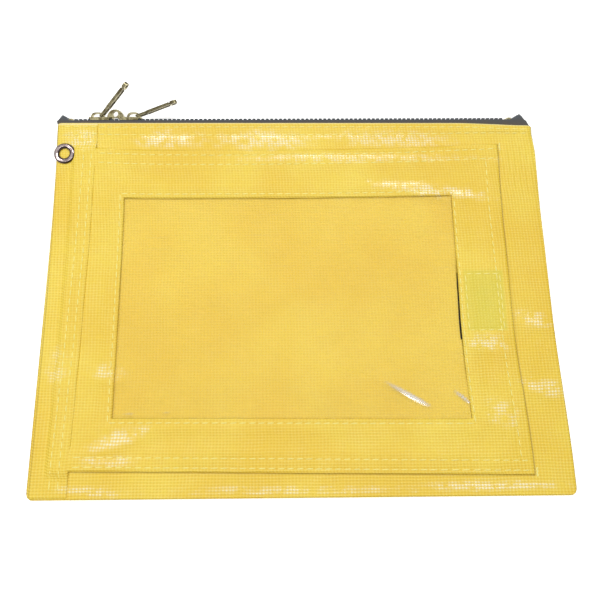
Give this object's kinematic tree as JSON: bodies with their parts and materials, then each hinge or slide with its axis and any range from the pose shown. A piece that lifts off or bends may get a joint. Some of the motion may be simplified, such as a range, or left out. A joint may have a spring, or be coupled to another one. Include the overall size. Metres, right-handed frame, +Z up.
{
  "type": "cash deposit bag",
  "caption": "Flat zipped cash pouch in coated mesh with a windowed slip pocket, a corner eyelet and two lockable zip sliders.",
  "frame": {"origin": "middle of the back panel's underside, on the surface that the bag lies on", "axes": "+X runs along the zip from the eyelet side, +Y points to the zip edge, +Z is up, out of the bag's face"},
  "size_m": [0.275, 0.2276, 0.0141],
  "materials": {
    "coated_mesh": "semi-gloss coating over an open weave",
    "clear_film": "clear soft vinyl film",
    "loop_pile": "hook-and-loop pile",
    "zip_tape": "woven tape",
    "zip_teeth": "moulded",
    "aged_brass": "aged plate",
    "eyelet_metal": "bright nickel",
    "thread": "spun thread"
  },
  "bodies": {
    "bag": {"back_panel": "coated_mesh", "front_panel": "coated_mesh", "side_strip": "coated_mesh", "pocket_panel": "coated_mesh", "window_film": "clear_film", "loop_patch": "loop_pile", "hook_patch": "loop_pile", "zip_tape_front": "zip_tape", "zip_tape_back": "zip_tape", "zip_teeth_front": "zip_teeth", "zip_teeth_back": "zip_teeth", "end_stop_left": "aged_brass", "end_stop_right": "aged_brass", "eyelet": "eyelet_metal", "eyelet_washer": "eyelet_metal", "zip_stitching_front": "thread", "zip_stitching_back": "thread", "side_strip_stitching": "thread", "pocket_stitching": "thread", "pocket_hem_stitching": "thread", "window_stitching": "thread", "patch_stitching": "thread", "bar_tacks": "thread"},
    "left_slider": {"slider_left": "aged_brass", "slider_crown_left": "aged_brass"},
    "right_slider": {"slider_right": "aged_brass", "slider_crown_right": "aged_brass"},
    "left_tab": {"pull_tab_left": "aged_brass"},
    "right_tab": {"pull_tab_right": "aged_brass"}
  },
  "joints": [
    {"name": "left_slider_slide", "type": "slide", "parent": "bag", "child": "left_slider", "axis": [-1, 0, 0], "range_m": [0, 0.0085]},
    {"name": "right_slider_slide", "type": "slide", "parent": "bag", "child": "right_slider", "axis": [1, 0, 0], "range_m": [0, 0.21]},
    {"name": "left_tab_swing", "type": "hinge", "parent": "left_slider", "child": "left_tab", "pos_m": [-0.11285, 0.10686, 0.00598], "axis": [0, -0.342, 0.9397], "range_deg": [-12, 123]},
    {"name": "right_tab_swing", "type": "hinge", "parent": "right_slider", "child": "right_tab", "pos_m": [-0.09225, 0.10686, 0.00598], "axis": [0, -0.342, 0.9397], "range_deg": [-15, 62]}
  ]
}
